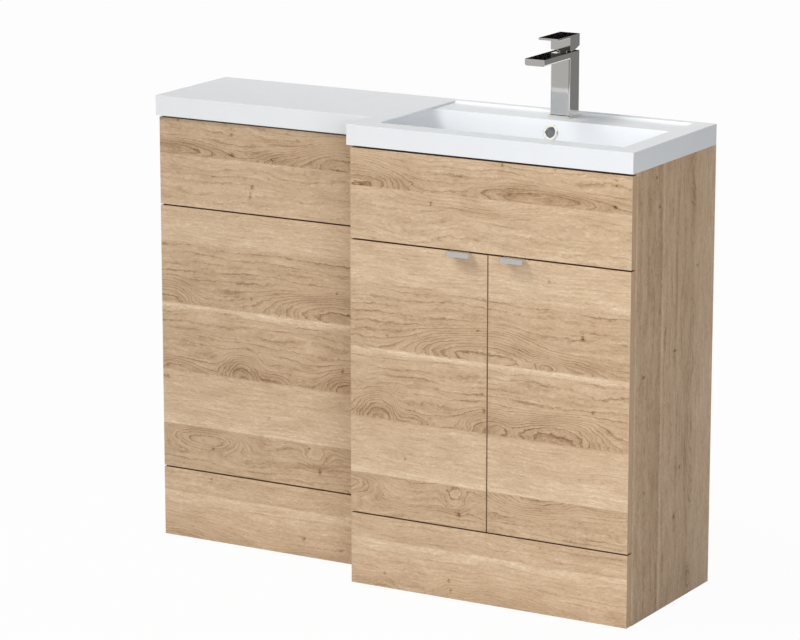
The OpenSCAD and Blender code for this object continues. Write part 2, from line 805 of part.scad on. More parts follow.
// Profile of the overflow's channel in the YZ plane, grown by a wall
module channel_profile(wall) {
  shift = bowl_wall / cos(back_slope);
  channel_end_y = waste_y - waste_r - 6;
  top = wall > 0 ? flat_z + 2 : flat_z + 4;
  polygon([
    [back_y(top) + shift - wall, top],
    [back_y(top) + shift + channel_t + wall, top],
    [back_y(channel_bottom_z) + shift + channel_t + wall, channel_bottom_z - wall],
    [channel_end_y - wall, channel_bottom_z - wall],
    [channel_end_y - wall, channel_bottom_z + channel_t + wall],
    [back_y(channel_bottom_z + channel_t) + shift - wall, channel_bottom_z + channel_t + wall]
  ]);
}

module channel(wall) {
  w = channel_w + 2 * wall;
  translate([basin_mid_x - w / 2, 0, 0]) rotate([90, 0, 90]) linear_extrude(w) channel_profile(wall);
}

// Along the overflow's axis: Z points out of the bowl's back wall, into the bowl
module at_overflow() {
  translate([basin_mid_x, back_y(deck_z - overflow_drop), deck_z - overflow_drop])
    rotate([90 - back_slope, 0, 0]) children();
}

overflow_neck_d = overflow_bore_d + 4;

module basin_top() color(white) in_place() difference() {
  union() {
    difference() {
      translate([0, 0, carcass_h]) linear_extrude(top_edge_h) top_plan();
      translate([0, 0, carcass_h - 1]) linear_extrude(top_edge_h - top_flat_t + 1) top_plan(skirt_t);
    }
    for (x = [1/3, 2/3])
      translate([-wc_unit_w * x - skirt_t / 4, wc_top_front + 1, carcass_h + 6])
        cube([skirt_t / 2, -wc_top_front - 2, top_edge_h - top_flat_t - 5]);
    bowl_form(flat_z + 1, bowl_wall);
    channel(channel_wall);
    translate([basin_mid_x, waste_y, under_bowl_z]) cylinder(r = boss_r, h = boss_h);
  }
  recess();
  bowl_form(deck_z + eps, 0);
  difference() {
    channel(0);
    bowl_form(flat_z + 1, bowl_wall - 1);
  }
  translate([basin_mid_x, waste_y, under_bowl_z - 1])
    cylinder(r = waste_r + 0.8, h = bowl_floor_z - under_bowl_z + 2);
  translate([basin_mid_x, waste_y, bowl_floor_z - waste_seat])
    cylinder(d = waste_flange_d + 2, h = waste_seat + 2);
  at_overflow() translate([0, 0, -bowl_wall - 3])
    cylinder(d = overflow_neck_d + 2 * loose, h = bowl_wall + 8);
  translate([basin_mid_x, -tap_y, flat_z - 5]) cylinder(d = tap_hole_d, h = top_flat_t + 10);
}

// ---- Waste and overflow ----------------------------------------------------------

module overflow_ring() color(chrome) in_place() at_overflow() difference() {
  union() {
    translate([0, 0, -bowl_wall + 1]) cylinder(d = overflow_neck_d, h = bowl_wall);
    cylinder(d = overflow_d, h = 1.2);
    translate([0, 0, 1.2]) cylinder(d1 = overflow_d, d2 = overflow_d - 2, h = 0.8);
  }
  translate([0, 0, -bowl_wall]) cylinder(d = overflow_bore_d, h = bowl_wall + 4);
  translate([0, 0, 1]) cylinder(d1 = overflow_bore_d, d2 = overflow_bore_d + 3, h = 1.5);
}

module at_waste(z) translate([basin_mid_x, waste_y, z]) children();

seat_z = bowl_floor_z - waste_seat;
guide_z = bowl_floor_z - bowl_wall - channel_t - 8;
groove_z = under_bowl_z - lower_washer_t - nut_t - 1 - groove_w;

module waste_body() color(chrome) in_place() difference() {
  union() {
    at_waste(seat_z + washer_t) cylinder(d = waste_flange_d, h = flange_t);
    at_waste(bowl_floor_z - waste_l) cylinder(r = waste_r, h = waste_l - flange_t);
  }
  difference() {
    at_waste(bowl_floor_z - waste_l - 1) cylinder(d = waste_bore_d, h = waste_l + 2);
    at_waste(guide_z) {
      cylinder(r = guide_hub_r, h = guide_t + 6);
      for (turn = [0, 120, 240])
        rotate(turn) translate([0, -guide_spoke_w / 2, 0]) cube([waste_r, guide_spoke_w, guide_t]);
    }
  }
  at_waste(guide_z - 1) cylinder(d = plug_stem_d + 2 * run, h = guide_t + 10);
  for (turn = [0, 90])
    at_waste(channel_bottom_z + 1) rotate(turn + 45)
      translate([-waste_r - 1, -waste_slot_w / 2, 0])
        cube([2 * waste_r + 2, waste_slot_w, channel_t - 2]);
  waste_groove();
}

// The run-out between the nut's thread and the trap's
module waste_groove() at_waste(groove_z) difference() {
  cylinder(r = waste_r + 1, h = groove_w);
  translate([0, 0, -1]) cylinder(r = waste_r - groove_depth, h = groove_w + 2);
}

module waste_washer(z, t, d, bore) difference() {
  at_waste(z) cylinder(d = d, h = t);
  at_waste(z - 1) cylinder(d = bore, h = t + 2);
}

module waste_top_washer()
  color(rubber) in_place()
    waste_washer(seat_z, washer_t, waste_flange_d - 2, 2 * waste_r + 2 * loose);

module waste_lower_washer()
  color(rubber) in_place()
    waste_washer(under_bowl_z - lower_washer_t, lower_washer_t, 2 * nut_r, 2 * waste_r + 2 * loose);

module waste_nut() color(chrome) in_place() difference() {
  at_waste(under_bowl_z - lower_washer_t - nut_t) cylinder(r = nut_r, h = nut_t, $fn = 8);
  at_waste(under_bowl_z - lower_washer_t - nut_t - 1) cylinder(r = waste_r + run, h = nut_t + 2);
}

plug_z = bowl_floor_z + plug_seal_t;

module waste_plug() color(chrome) in_place() {
  at_waste(plug_z) rotate_extrude() polygon(concat(
    [[0, 0], [plug_r, 0]],
    [for (a = [0:15:90])
      [plug_r + plug_edge_r * (cos(a) - 1), plug_t - 1 + plug_edge_r * (sin(a) - 1) * 0.6]],
    [[0, plug_t]]
  ));
  at_waste(guide_z - stem_below_guide)
    cylinder(d = plug_stem_d, h = plug_z - guide_z + stem_below_guide + 1);
}

module waste_plug_seal() color(rubber) in_place() difference() {
  at_waste(bowl_floor_z) cylinder(r = plug_r - 2, h = plug_seal_t);
  at_waste(bowl_floor_z - 1) cylinder(d = plug_stem_d + 2 * loose, h = plug_seal_t + 2);
}

// ---- Tap -------------------------------------------------------------------------

module at_tap(z) translate([basin_mid_x, -tap_y, z]) children();

module tap_base_plate() color(chrome) in_place() difference() {
  at_tap(base_z) linear_extrude(base_t) rounded_rect(base_w, base_d, base_corner_r);
  at_tap(base_z - 1) cylinder(d = spigot_d + 2 * loose, h = base_t + 2);
}

bar_edge_share = 0.3;

// A bar as wide as the tap, from its middle to the front, with its two lower edges rounded
module front_bar(reach, h) rotate([90, 0, 0]) linear_extrude(reach) {
  r = h * bar_edge_share;
  for (s = [-1, 1]) translate([s * (tap_w / 2 - r), r]) circle(r = r);
  translate([-tap_w / 2, r]) square([tap_w, h - r]);
  translate([r - tap_w / 2, 0]) square([tap_w - 2 * r, h]);
}

// Places of the two inlets under the tap
inlets = [[-inlet_pitch / 2, -4], [inlet_pitch / 2, -4]];

module tap_body() color(chrome) in_place() difference() {
  union() {
    at_tap(column_z) linear_extrude(tap_h) rounded_rect(tap_w, tap_d, tap_edge_r);
    at_tap(body_top_z - spout_t) front_bar(tap_d / 2 + spout_reach, spout_t);
    at_tap(spigot_end_z) cylinder(d = spigot_d, h = column_z - spigot_end_z + 1);
  }
  at_tap(cartridge_z) cylinder(d = cartridge_d + 2 * loose, h = tap_h);
  at_tap(body_top_z - ring_thread_h) cylinder(d = cartridge_d + 2 + 2 * loose, h = ring_thread_h + 1);
  for (p = inlets) at_tap(spigot_end_z - 1) translate([p[0], p[1], 0]) {
    cylinder(d = inlet_d, h = inlet_depth + 1);
    cylinder(d = inlet_d - 3, h = cartridge_z - spigot_end_z + 2);
  }
  at_stud(spigot_end_z - 1) cylinder(d = stud_d + 2 * run, h = stud_grip + 1);
  translate([basin_mid_x, 0, 0]) rod_y(spout_bore_d, spout_reach, 0, aerator_y, body_top_z - spout_t + 4.5);
  translate([basin_mid_x, aerator_y, body_top_z - spout_t - 1])
    cylinder(d = aerator_d + 2 * loose, h = aerator_h + 1);
}

module tap_aerator() color(chrome) in_place() translate([basin_mid_x, aerator_y, 0]) difference() {
  translate([0, 0, body_top_z - spout_t - 0.6]) cylinder(d = aerator_d, h = aerator_h);
  translate([0, 0, body_top_z - spout_t - 1.6]) cylinder(d = aerator_d - 4, h = 3);
  for (turn = [0:60:300])
    rotate(turn) translate([4, 0, body_top_z - spout_t - 1]) cylinder(d = 2.4, h = aerator_h + 2);
}

// The ceramic-disc cartridge, with a bore that its spindle turns in
module tap_cartridge() color(white) in_place() difference() {
  at_tap(cartridge_z) cylinder(d = cartridge_d, h = cartridge_seat - ring_thread_h);
  at_tap(spindle_bore_z) cylinder(d = spindle_d + 2 * run, h = cartridge_seat);
  for (p = inlets) at_tap(cartridge_z - 1) translate([p[0], p[1], 0]) cylinder(d = inlet_d - 3, h = 6);
}

module tap_neck_ring() color(chrome) in_place() difference() {
  union() {
    at_tap(body_top_z - ring_thread_h) cylinder(d = cartridge_d + 2, h = ring_thread_h + 1);
    at_tap(body_top_z) cylinder(d = neck_d, h = neck_h);
  }
  at_tap(body_top_z - ring_thread_h - 1) cylinder(d = ring_bore_d, h = ring_thread_h + neck_h + 2);
}

// The spindle turns for warmth; its fork carries the pin that the lever lifts on
fork_gap = 0.2;
fork_ear_t = 2;
fork_ear_h = 10.5;
fork_d = spindle_d + 1;
fork_pin_l = stem_size + 2 * fork_gap + fork_ear_t;

// A cylinder along X on the lever's pivot, from the tap's middle both ways
module pivot_rod(d, l) translate([basin_mid_x, 0, 0]) rod_x(d, l, -l / 2, -tap_y, pivot_z);

module tap_spindle() color(steel) in_place() {
  at_tap(spindle_z) cylinder(d = spindle_d, h = pivot_z - spindle_z - stem_size / 2 - 1);
  for (s = [-1, 1]) at_tap(pivot_z - 3) intersection() {
    translate([s * (stem_size / 2 + fork_gap + fork_ear_t / 2), 0, 0])
      cube([fork_ear_t, stem_size, fork_ear_h], center = true);
    cylinder(d = fork_d, h = 2 * fork_ear_h, center = true);
  }
  pivot_rod(pivot_pin_d, fork_pin_l);
}

module tap_stem() color(steel) in_place() difference() {
  union() {
    at_tap(pivot_z) translate([-stem_size / 2, -stem_size / 2, 0])
      cube([stem_size, stem_size, stem_top_z - pivot_z]);
    pivot_rod(stem_size, stem_size);
  }
  pivot_rod(pivot_pin_d + 2 * run, stem_size + 2);
}

// The lever's block and plate seen from the side, in the YZ plane
module lever_side() {
  back = lever_block_d / 2;
  polygon([
    [-back, 0], [0, 0], [back, back * tan(lever_lift)], [back, lever_block_h + lever_t],
    [back - lever_l, lever_block_h + lever_t], [back - lever_l, lever_block_h],
    [-back, lever_block_h]
  ]);
}

lever_room = 20;
lever_room_h = 11;
grub_d = 5;

module tap_lever() color(chrome) in_place() difference() {
  at_tap(lever_z) intersection() {
    translate([-tap_w / 2, 0, 0]) rotate([90, 0, 90]) linear_extrude(tap_w) lever_side();
    union() {
      translate([-tap_w, -lever_block_d / 2, -1])
        cube([2 * tap_w, lever_block_d + 1, lever_block_h + lever_t + 2]);
      translate([0, 0, lever_block_h]) front_bar(lever_l, lever_t);
    }
  }
  at_tap(lever_z - 1) cylinder(d = lever_room, h = lever_room_h + 1);
  at_tap(lever_z) translate([-stem_size / 2 - loose, -stem_size / 2 - loose, 0])
    cube([stem_size + 2 * loose, stem_size + 2 * loose, stem_top_z - lever_z + 0.5]);
  translate([basin_mid_x, 0, 0]) rod_y(grub_d + 2 * run, lever_block_d, 0, -tap_y, stem_top_z - 5);
}

module tap_lever_screw() color(steel) in_place() difference() {
  translate([basin_mid_x, 0, 0]) rod_y(grub_d, 10, 0, -tap_y + stem_size / 2 + eps, stem_top_z - 5);
  translate([basin_mid_x, 0, 0]) rod_y(2.5, 4, 0, -tap_y + stem_size / 2 + 7, stem_top_z - 5);
}

// Fixings under the tap: stud, rubber and steel horseshoes, and nut
rubber_z = spigot_end_z - 3;
rubber_d = 46;
clamp_t = 2;
clamp_z = rubber_z - clamp_t;
clamp_d = 44;
stud_nut_h = 14;

module at_stud(z) at_tap(z) translate([0, stud_offset, 0]) children();

module tap_fixing_stud()
  color(steel) in_place() at_stud(spigot_end_z - stud_l) cylinder(d = stud_d, h = stud_l + stud_grip - 0.5);

// A horseshoe that slips round the stud and the inlets from the front
module horseshoe(z, d, t) difference() {
  at_tap(z) cylinder(d = d, h = t);
  at_tap(z - 1) translate([-washer_slot_w / 2, -d, 0]) cube([washer_slot_w, d + 2, t + 2]);
  at_stud(z - 1) cylinder(d = stud_d + 2 * loose, h = t + 2);
}

module tap_rubber_washer() color(rubber) in_place() difference() {
  horseshoe(rubber_z, rubber_d, flat_z - rubber_z);
  at_tap(spigot_end_z) cylinder(d = spigot_d + 2 * loose, h = top_flat_t);
}

module tap_horseshoe_washer() color(steel) in_place() horseshoe(clamp_z, clamp_d, clamp_t);

module tap_fixing_nut() color(steel) in_place() at_stud(clamp_z - stud_nut_h) difference() {
  cylinder(d = stud_d * 1.9, h = stud_nut_h, $fn = 6);
  translate([0, 0, -1]) cylinder(d = stud_d + 2 * run, h = stud_nut_h + 2);
}

// ---- Nodes -----------------------------------------------------------------------

basin_unit_left_side();
basin_unit_right_side();
basin_unit_floor();
basin_unit_front_rail();
basin_unit_top_back_rail();
basin_unit_lower_back_rail();
basin_unit_fascia();
basin_unit_plinth();
wc_unit_left_side();
wc_unit_right_side();
wc_unit_front_rail();
wc_unit_lower_front_rail();
wc_unit_top_back_rail();
wc_unit_lower_back_rail();
wc_unit_pan_panel();
wc_unit_plinth();
wc_unit_access_panel();
access_panel_studs();
carcass_dowels();
joining_bolts();
joining_sleeves();
front_panel_screws();
left_door();
left_handle();
left_handle_screws();
right_door();
right_handle();
right_handle_screws();
door_buffers();
hinge_plates();
hinge_plate_screws();
left_hinge_arms();
right_hinge_arms();
left_hinge_cups();
right_hinge_cups();
left_cup_screws();
right_cup_screws();
left_hinge_links();
right_hinge_links();
basin_top();
overflow_ring();
waste_body();
waste_top_washer();
waste_lower_washer();
waste_nut();
waste_plug();
waste_plug_seal();
tap_base_plate();
tap_body();
tap_aerator();
tap_cartridge();
tap_neck_ring();
tap_spindle();
tap_stem();
tap_lever();
tap_lever_screw();
tap_fixing_stud();
tap_rubber_washer();
tap_horseshoe_washer();
tap_fixing_nut();
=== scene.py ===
"""Looks of the toilet and basin combination unit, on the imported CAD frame. Metres."""
import math

import bpy
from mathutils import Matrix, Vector

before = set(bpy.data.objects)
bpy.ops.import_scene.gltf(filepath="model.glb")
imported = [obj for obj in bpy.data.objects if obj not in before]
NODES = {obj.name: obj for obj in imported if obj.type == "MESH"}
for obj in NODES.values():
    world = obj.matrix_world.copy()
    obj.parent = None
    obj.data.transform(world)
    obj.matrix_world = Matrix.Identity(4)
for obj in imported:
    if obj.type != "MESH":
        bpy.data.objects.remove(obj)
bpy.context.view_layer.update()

# The object's own millimetres: X from the joint between the units, Y from the wall, Z up
SHIFT_X, SHIFT_Y = 48.15, -183.65


def linear(colour):
    """A colour of 0 to 255 values, as the shaders take it."""
    def one(value):
        value /= 255
        return value / 12.92 if value <= 0.04045 else ((value + 0.055) / 1.055) ** 2.4
    return tuple(one(v) for v in colour) + (1,)


class Tree:
    """A node tree that is written as sums. Every method gives a socket."""

    def __init__(self, tree):
        self.tree = tree
        tree.nodes.clear()

    def node(self, kind, **values):
        made = self.tree.nodes.new(kind)
        for name, value in values.items():
            setattr(made, name, value)
        return made

    def put(self, socket, value):
        if isinstance(value, bpy.types.NodeSocket):
            self.tree.links.new(value, socket)
        elif value is not None:
            socket.default_value = value

    def math(self, operation, a, b=None, c=None):
        made = self.node("ShaderNodeMath", operation=operation)
        for socket, value in zip(made.inputs, (a, b, c)):
            self.put(socket, value)
        return made.outputs[0]

    def vector(self, operation, a, b=None, c=None):
        made = self.node("ShaderNodeVectorMath", operation=operation)
        for socket, value in zip(made.inputs, (a, b, c)):
            self.put(socket, value)
        return made.outputs["Value" if operation in ("DOT_PRODUCT", "LENGTH") else "Vector"]

    def join(self, x, y, z=0.0):
        made = self.node("ShaderNodeCombineXYZ")
        for socket, value in zip(made.inputs, (x, y, z)):
            self.put(socket, value)
        return made.outputs[0]

    def split(self, vector):
        made = self.node("ShaderNodeSeparateXYZ")
        self.put(made.inputs[0], vector)
        return made.outputs

    def noise(self, vector, scale=1.0, detail=2.0, roughness=0.5):
        made = self.node("ShaderNodeTexNoise")
        self.put(made.inputs["Vector"], vector)
        for name, value in (("Scale", scale), ("Detail", detail), ("Roughness", roughness)):
            made.inputs[name].default_value = value
        return made.outputs["Fac"]

    def ramp(self, value, stops, mode="LINEAR"):
        """A colour ramp through (place, colour) stops, with grey given as one number."""
        made = self.node("ShaderNodeValToRGB")
        made.color_ramp.interpolation = mode
        steps = made.color_ramp.elements
        while len(steps) < len(stops):
            steps.new(0.5)
        for step, (place, colour) in zip(steps, stops):
            step.position = place
            step.color = (colour,) * 3 + (1,) if isinstance(colour, (int, float)) else colour
        self.put(made.inputs[0], value)
        return made.outputs[0]

    def mix(self, fac, a, b, blend="MIX"):
        made = self.node("ShaderNodeMix", data_type="RGBA", blend_type=blend)
        self.put(made.inputs[0], fac)
        self.put(made.inputs[6], a)
        self.put(made.inputs[7], b)
        return made.outputs[2]

    def bump(self, height, distance, strength=1.0):
        made = self.node("ShaderNodeBump")
        made.inputs["Strength"].default_value = strength
        made.inputs["Distance"].default_value = distance
        self.put(made.inputs["Height"], height)
        return made.outputs[0]

    def shade(self, colour, roughness, bump=None, **constants):
        """The surface itself. Values that are the same all over stay on its own sockets."""
        made = self.node("ShaderNodeBsdfPrincipled")
        self.put(made.inputs["Base Color"], colour)
        self.put(made.inputs["Roughness"], roughness)
        if bump is not None:
            self.put(made.inputs["Normal"], bump)
        for name, value in constants.items():
            made.inputs[name.replace("_", " ")].default_value = value
        out = self.node("ShaderNodeOutputMaterial")
        self.tree.links.new(made.outputs[0], out.inputs[0])


def material(name):
    made = bpy.data.materials.new(name)
    made.use_nodes = True
    return made, Tree(made.node_tree)


def place(tree):
    """Where a point is on the object at rest, in the object's own millimetres."""
    made = tree.node("ShaderNodeTexCoord")
    return tree.vector("MULTIPLY_ADD", made.outputs["Object"], (1000,) * 3, (SHIFT_X, SHIFT_Y, 0))


def clothe(mat, *names):
    for name in names:
        slots = NODES[name].data.materials
        slots.clear()
        slots.append(mat)


# ---------------------------------------------------------------- oak

# From the darkest knot to the palest streak
OAK = [(0.0, linear((92, 67, 45))), (0.2, linear((130, 99, 71))), (0.38, linear((162, 132, 101))),
       (0.55, linear((189, 161, 131))), (0.7, linear((204, 177, 147))),
       (0.85, linear((218, 193, 164))), (1.0, linear((235, 214, 188)))]
# Painted shade: the dark brown of the fronts' top and bottom edges, which darkens the gaps between them
GAP_SHADE_BAND = linear((142, 102, 74))
# A face belongs to an edge where its normal's share along the board's axis is over these
END_FACE, RIM_FACE = 0.7, 0.8
# The tone across one growth ring, and the same for the fainter lines between rings.
# A ring leaves the plank's tone as it is where its line has the middle value.
RING_LINE = [(0, 0.0), (0.05, 0.2), (0.13, 0.66), (0.25, 0.86), (0.5, 0.7), (0.8, 0.66),
             (0.94, 0.3), (1, 0.0)]
RING_MIDDLE = 0.66
FINE_LINE = [(0, 0.0), (0.25, 0.93), (0.7, 1.0), (1, 0.0)]
FINE_MIDDLE = 0.7
FINE_PER_RING = 2.7
# How much each feature of the grain adds to the tone
NARROW_STREAKS, BROAD_STREAKS, PATCHES, PORES, KNOTS = 0.60, 0.42, 0.38, -0.13, -0.42


class Board:
    """A printed oak board: planks across the grain, each with its own tone and growth rings.

    planks: (low, high, ring contrast, ring spacing, waviness, swirls), lengths in mm
    swirls: (along, across, half length, half width, rings, skew)
    tones: (across, tone) from low to high; knots: (along, across, half length, half width)
    shades: (along, across, half length, half width, tone that is added)
    """

    def __init__(self, planks, tones, knots, shades=()):
        self.planks, self.tones, self.knots, self.shades = planks, tones, knots, shades
        self.low, self.high = planks[0][0], planks[-1][1]


def spot(t, s, u, place_s, place_u, half_s, half_u, skew=0.0, steep=False):
    """A soft elliptical spot, 1 in its middle. A steep one has a flat middle."""
    x = t.math("MULTIPLY_ADD", s, 1 / half_s, -place_s / half_s)
    if skew:
        x = t.math("MULTIPLY_ADD", t.math("ABSOLUTE", x), skew, x)
    y = t.math("MULTIPLY_ADD", u, 1 / half_u, -place_u / half_u)
    p = t.join(x, y)
    distance = t.vector("DOT_PRODUCT", p, p)
    if steep:
        distance = t.math("POWER", distance, 1.6)
    return t.math("POWER", math.exp(-1), distance)


def oak(name, board, along, across, shift=(0.0, 0.0), seed=0.0, ends=None, shade=1.0):
    """A laminated oak board. Its grain runs along one axis, its planks lie across another.

    shift moves the print along and across, ends is the axis whose faces are edge bands, which
    also gives the top and bottom edges a band of painted shade, and shade is a factor on the
    whole colour: painted shade where it is under 1 and painted light where it is over 1.
    """
    mat, t = material(name)
    xyz = t.split(place(t))
    s = t.math("ADD", xyz[along], shift[0])
    u = t.math("ADD", xyz[across], shift[1])
    depth = t.math("MULTIPLY", xyz[3 - along - across], 0.02)
    if ends is not None:
        # Edge bands at the two ends have their own grain, along the edge
        normal = t.split(t.node("ShaderNodeTexCoord").outputs["Normal"])
        edge = t.math("GREATER_THAN", t.math("ABSOLUTE", normal[ends]), END_FACE)
    # Tables per plank: red ring contrast, green rings per mm, blue waviness
    span = board.high - board.low
    level = t.math("MULTIPLY_ADD", u, 1 / span, -board.low / span)
    rows = [((low - board.low) / span, (contrast, 1 / spacing, waviness, 1))
            for low, high, contrast, spacing, waviness, swirls in board.planks]
    row = t.split(t.ramp(level, rows, "CONSTANT"))
    tone = t.ramp(level, [((at - board.low) / span, value) for at, value in board.tones])

    def field(along_mm, across_mm, detail, extra=0.0, roughness=0.5):
        v = t.join(t.math("MULTIPLY", s, 1 / along_mm), t.math("MULTIPLY", u, 1 / across_mm),
                   t.math("ADD", depth, seed + extra))
        return t.math("SUBTRACT", t.noise(v, 1.0, detail, roughness), 0.5)

    # Slow and medium waves of the grain
    wave = t.math("MULTIPLY", field(50, 14, 2, 3.7), 10)
    wave = t.math("MULTIPLY_ADD", field(190, 60, 1), 46, wave)
    wave = t.math("MULTIPLY", wave, row[2])
    bent_u = t.math("MULTIPLY_ADD", wave, 0.45, u)
    bent_s = t.math("MULTIPLY_ADD", field(26, 14, 3, 8.1), 22, s)
    rings = t.math("MULTIPLY", t.math("ADD", u, wave), row[1])
    zone = 0.0
    for low, high, contrast, spacing, waviness, swirls in board.planks:
        total, near = 0.0, 0.0
        for at_s, at_u, half_s, half_u, count, skew in swirls:
            one = spot(t, bent_s, bent_u, at_s, at_u, half_s, half_u, skew, steep=True)
            total = t.math("MULTIPLY_ADD", one, count, total)
            near = t.math("ADD", near, one)
        if swirls:
            inside = t.math("COMPARE", u, (low + high) / 2, (high - low) / 2)
            rings = t.math("MULTIPLY_ADD", total, inside, rings)
            zone = t.math("MULTIPLY_ADD", near, inside, zone)
    rings = t.math("MULTIPLY_ADD", field(14, 5, 3, 5.5, 0.6), 0.8, rings)
    # Each growth ring has its own strength, which changes along the board
    ring_number = t.math("FLOOR", t.math("ADD", rings, 0.5))
    strength = t.noise(t.join(t.math("MULTIPLY", s, 1 / 130), ring_number, seed), 1.7, 1)
    strength = t.ramp(strength, [(0.36, 0.22), (0.5, 0.55), (0.64, 0.95)])
    zone = t.math("MINIMUM", t.math("MULTIPLY", zone, 1.8), 1.0)
    strength = t.math("MULTIPLY_ADD", zone, 0.35, strength)
    line = t.math("SUBTRACT", t.ramp(t.math("FRACT", rings), RING_LINE), RING_MIDDLE)
    value = t.math("MULTIPLY", t.math("MULTIPLY", line, row[0]), strength)
    # Fainter lines between the rings, stronger in some places than in others
    fine = t.ramp(t.math("FRACT", t.math("MULTIPLY", rings, FINE_PER_RING)), FINE_LINE)
    fine_strength = t.math("MULTIPLY_ADD", field(60, 16, 2, 61.0), 0.5, 0.13)
    fine = t.math("MULTIPLY", t.math("SUBTRACT", fine, FINE_MIDDLE), fine_strength)
    value = t.math("MULTIPLY_ADD", fine, row[0], value)
    value = t.math("ADD", value, t.math("MULTIPLY_ADD", zone, -0.03, tone))
    # Streaks that follow the rings, tone patches and open pores
    flow = t.math("DIVIDE", rings, row[1])

    def streak(along_mm, across_mm, detail, extra):
        v = t.join(t.math("MULTIPLY", s, 1 / along_mm), t.math("MULTIPLY", flow, 1 / across_mm),
                   t.math("ADD", depth, seed + extra))
        return t.math("SUBTRACT", t.noise(v, 1.0, detail, 0.6), 0.5)

    value = t.math("MULTIPLY_ADD", streak(14, 1.6, 3, 31.0), NARROW_STREAKS, value)
    value = t.math("MULTIPLY_ADD", streak(60, 4.5, 2, 37.0), BROAD_STREAKS, value)
    value = t.math("MULTIPLY_ADD", field(80, 24, 3, 20.0), PATCHES, value)
    pores = t.ramp(field(6, 0.9, 1, 41.0), [(0.0, 0.0), (0.08, 0.0), (0.18, 1.0)])
    value = t.math("MULTIPLY_ADD", pores, PORES, value)
    for at_s, at_u, half_s, half_u, amount in board.shades:
        patch = spot(t, bent_s, bent_u, at_s, at_u, half_s, half_u)
        value = t.math("MULTIPLY_ADD", patch, amount, value)
    curl_s = t.math("MULTIPLY_ADD", field(5, 4, 1, 50.0), 12, s)
    curl_u = t.math("MULTIPLY_ADD", field(6, 5, 1, 55.0), 12, u)
    for at_s, at_u, half_s, half_u in board.knots:
        knot = spot(t, curl_s, curl_u, at_s, at_u, half_s * 0.8, half_u * 0.8)
        value = t.math("MULTIPLY_ADD", knot, KNOTS, value)
    if ends is not None:
        band = t.join(t.math("MULTIPLY", xyz[across], 1 / 60),
                      t.math("MULTIPLY", xyz[3 - along - across], 1 / 2.2), seed)
        band = t.math("SUBTRACT", t.noise(band, 1.0, 3, 0.6), 0.5)
        band = t.math("MULTIPLY_ADD", band, 0.5, 0.60)
        value = t.math("ADD", t.math("MULTIPLY", value, t.math("SUBTRACT", 1, edge)),
                       t.math("MULTIPLY", band, edge))
    colour = t.mix(1.0, t.ramp(value, OAK), (shade,) * 3 + (1,), "MULTIPLY")
    if ends is not None:
        # Top and bottom edges have a dark brown band, painted shade that darkens the gaps between the
        # fronts
        rim = t.math("GREATER_THAN", t.math("ABSOLUTE", normal[across]), RIM_FACE)
        colour = t.mix(rim, colour, GAP_SHADE_BAND)
    rough = t.math("MULTIPLY_ADD", value, -0.12, 0.62)
    height = t.math("MULTIPLY_ADD", pores, -0.7, value)
    t.shade(colour, rough, t.bump(height, 0.00025, 0.5), Specular_IOR_Level=0.3)
    return mat


# The board that the doors and the pan panel are cut from: along X, across Z
DOORS = Board(
    [(144, 225, 0.33, 13, 1.0, [(-22, 206, 85, 26, -6, 0.1), (232, 192, 26, 24, 2.4, 0),
                                (400, 228, 95, 30, 5, 0), (560, 228, 60, 22, 3, 0)]),
     (225, 336, 0.15, 11, 0.7, []),
     (336, 475, 0.40, 17, 1.0, [(62, 350, 42, 36, -5, 0), (135, 336, 30, 20, -2, 0),
                                (300, 345, 50, 34, -4.5, 0), (450, 352, 100, 38, -7, 0.1),
                                (-95, 336, 60, 20, -2, 0)]),
     (475, 603, 0.38, 16, 0.7, [(-110, 484, 62, 38, -4.5, 0.2), (310, 494, 125, 40, -7, 0.25),
                                (428, 482, 30, 20, -3.5, 0), (465, 470, 85, 36, -3, 0)]),
     (603, 683, 0.18, 9, 0.5, [])],
    [(144, 0.63), (200, 0.63), (224, 0.61), (226, 0.86), (238, 0.78), (300, 0.72), (335, 0.71),
     (337, 0.585), (380, 0.625), (440, 0.635), (462, 0.70), (473, 0.92), (477, 0.60), (520, 0.61),
     (600, 0.66), (604, 0.78), (640, 0.77), (660, 0.74), (683, 0.77)],
    [(83, 503, 3, 2.5), (280, 536, 4, 2), (429, 646, 3, 4), (501, 548, 3, 6), (293, 382, 3, 5),
     (122, 263, 3, 3), (215, 214, 3, 3), (240, 170, 5, 6), (525, 407, 4, 4), (480, 153, 2, 3),
     (-10, 183, 4, 3), (-120, 321, 10, 3)],
    [(60, 350, 55, 16, -0.10), (200, 175, 130, 7, -0.14), (232, 196, 13, 13, 0.10),
     (300, 345, 35, 16, -0.10), (440, 350, 90, 14, -0.06)])

# The basin unit's fascia and the WC unit's access panel
FASCIA = Board(
    [(685, 788, 0.26, 15, 1.0, [(230, 792, 110, 34, 1.8, 0)]),
     (788, 860, 0.38, 15, 0.8, [(20, 803, 85, 38, -6, 0), (815, 800, 90, 38, -6.5, 0),
                                (405, 803, 130, 16, -3, 0), (690, 788, 55, 30, -3, 0)])],
    [(685, 0.74), (700, 0.74), (740, 0.69), (770, 0.69), (787, 0.76), (789, 0.58), (805, 0.60),
     (830, 0.66), (860, 0.70)],
    [(565, 850, 3, 3), (565, 840, 3, 2), (565, 799, 7, 4), (177, 767, 2.5, 6), (718, 840, 3, 3),
     (612, 738, 4, 8), (608, 722, 2.5, 9), (25, 791, 5, 3), (330, 856, 3, 4), (440, 857, 4, 2),
     (660, 796, 6, 3)],
    [(690, 832, 60, 7, -0.12), (420, 808, 130, 9, -0.10), (230, 758, 90, 5, -0.10),
     (650, 800, 60, 10, -0.06)])

